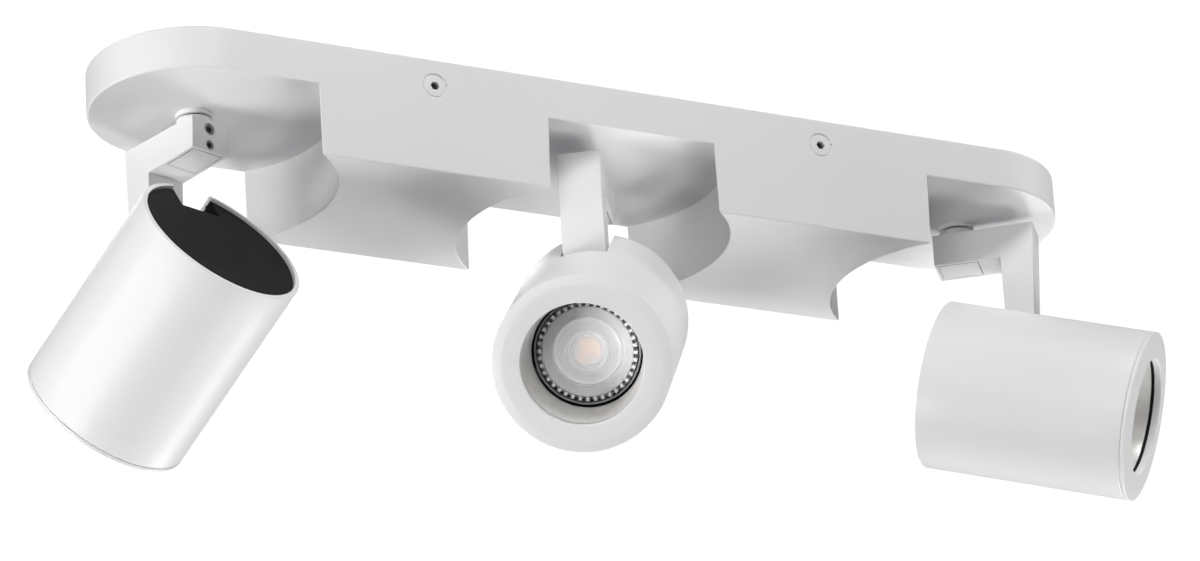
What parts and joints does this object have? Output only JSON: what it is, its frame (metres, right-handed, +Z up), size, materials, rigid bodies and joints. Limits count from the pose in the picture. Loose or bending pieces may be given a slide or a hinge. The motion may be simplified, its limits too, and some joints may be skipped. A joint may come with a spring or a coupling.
{
  "type": "ceiling spotlight bar",
  "caption": "Surface-mounted ceiling light: long stepped white bar with cylindrical spot heads on cranked arms that pan and tilt.",
  "frame": {"origin": "middle of the bar's top face, on the ceiling plane", "axes": "+X along the bar towards the right-hand head, +Z up into the ceiling, +Y towards the far side of the bar"},
  "size_m": [0.5566, 0.1767, 0.1825],
  "materials": {
    "white_powder": "satin",
    "white_screw": "satin",
    "zinc_steel": "satin",
    "black_steel": "satin",
    "dark_screw": "satin",
    "brass_screw": "satin",
    "black_rubber": "matte",
    "white_nylon": "satin",
    "lead_insulation": "satin",
    "black_plastic": "satin",
    "holder_ceramic": "satin",
    "lamp_plastic": "satin",
    "lamp_lens_glass": "gloss",
    "bright_aluminium": "polished"
  },
  "bodies": {
    "bar": {"housing": "white_powder", "housing_side_screws": "white_screw", "ceiling_bracket": "zinc_steel", "inlet_grommet": "black_rubber", "earth_screw": "brass_screw", "terminal_block": "white_nylon", "supply_leads": "lead_insulation", "pan_bushes": "white_nylon"},
    "left_arm_body": {"left_pan_stud": "white_powder", "left_pan_washers": "zinc_steel", "left_pan_nut": "zinc_steel", "left_arm": "white_powder", "left_arm_cover": "white_powder", "left_arm_set_screws": "dark_screw", "left_arm_lead": "lead_insulation", "left_tilt_screws": "zinc_steel"},
    "left_spot_body": {"left_tube": "white_powder", "left_rear_cap": "black_plastic", "left_yoke": "black_steel", "left_lamp_holder": "holder_ceramic", "left_lamp": "lamp_plastic", "left_lamp_lens": "lamp_lens_glass", "left_reflector": "bright_aluminium", "left_baffle_ring": "black_plastic", "left_front_ring": "white_powder"},
    "middle_arm_body": {"middle_pan_stud": "white_powder", "middle_pan_washers": "zinc_steel", "middle_pan_nut": "zinc_steel", "middle_arm": "white_powder", "middle_arm_cover": "white_powder", "middle_arm_set_screws": "dark_screw", "middle_arm_lead": "lead_insulation", "middle_tilt_screws": "zinc_steel"},
    "middle_spot_body": {"middle_tube": "white_powder", "middle_rear_cap": "black_plastic", "middle_yoke": "black_steel", "middle_lamp_holder": "holder_ceramic", "middle_lamp": "lamp_plastic", "middle_lamp_lens": "lamp_lens_glass", "middle_reflector": "bright_aluminium", "middle_baffle_ring": "black_plastic", "middle_front_ring": "white_powder"},
    "right_arm_body": {"right_pan_stud": "white_powder", "right_pan_washers": "zinc_steel", "right_pan_nut": "zinc_steel", "right_arm": "white_powder", "right_arm_cover": "white_powder", "right_arm_set_screws": "dark_screw", "right_arm_lead": "lead_insulation", "right_tilt_screws": "zinc_steel"},
    "right_spot_body": {"right_tube": "white_powder", "right_rear_cap": "black_plastic", "right_yoke": "black_steel", "right_lamp_holder": "holder_ceramic", "right_lamp": "lamp_plastic", "right_lamp_lens": "lamp_lens_glass", "right_reflector": "bright_aluminium", "right_baffle_ring": "black_plastic", "right_front_ring": "white_powder"}
  },
  "joints": [
    {"name": "left_pan", "type": "hinge", "parent": "bar", "child": "left_arm_body", "pos_m": [-0.201, 0, -0.021], "axis": [0, 0, 1], "range_deg": [-272.7, 55.3]},
    {"name": "left_tilt", "type": "hinge", "parent": "left_arm_body", "child": "left_spot_body", "pos_m": [-0.21062, 0.02842, -0.0865], "axis": [0.9472, 0.3206, 0], "range_deg": [-52.5, 32.5]},
    {"name": "middle_pan", "type": "hinge", "parent": "bar", "child": "middle_arm_body", "pos_m": [0, 0, -0.021], "axis": [0, 0, 1], "range_deg": [-41.2, 286.8]},
    {"name": "middle_tilt", "type": "hinge", "parent": "middle_arm_body", "child": "middle_spot_body", "pos_m": [-0.01625, -0.02522, -0.0865], "axis": [-0.8406, 0.5417, 0], "range_deg": [-50.5, 34.5]},
    {"name": "right_pan", "type": "hinge", "parent": "bar", "child": "right_arm_body", "pos_m": [0.201, 0, -0.021], "axis": [0, 0, 1], "range_deg": [-125.4, 202.6]},
    {"name": "right_tilt", "type": "hinge", "parent": "right_arm_body", "child": "right_spot_body", "pos_m": [0.22445, -0.01872, -0.0865], "axis": [-0.6239, -0.7815, 0], "range_deg": [-66.9, 18.1]}
  ]
}
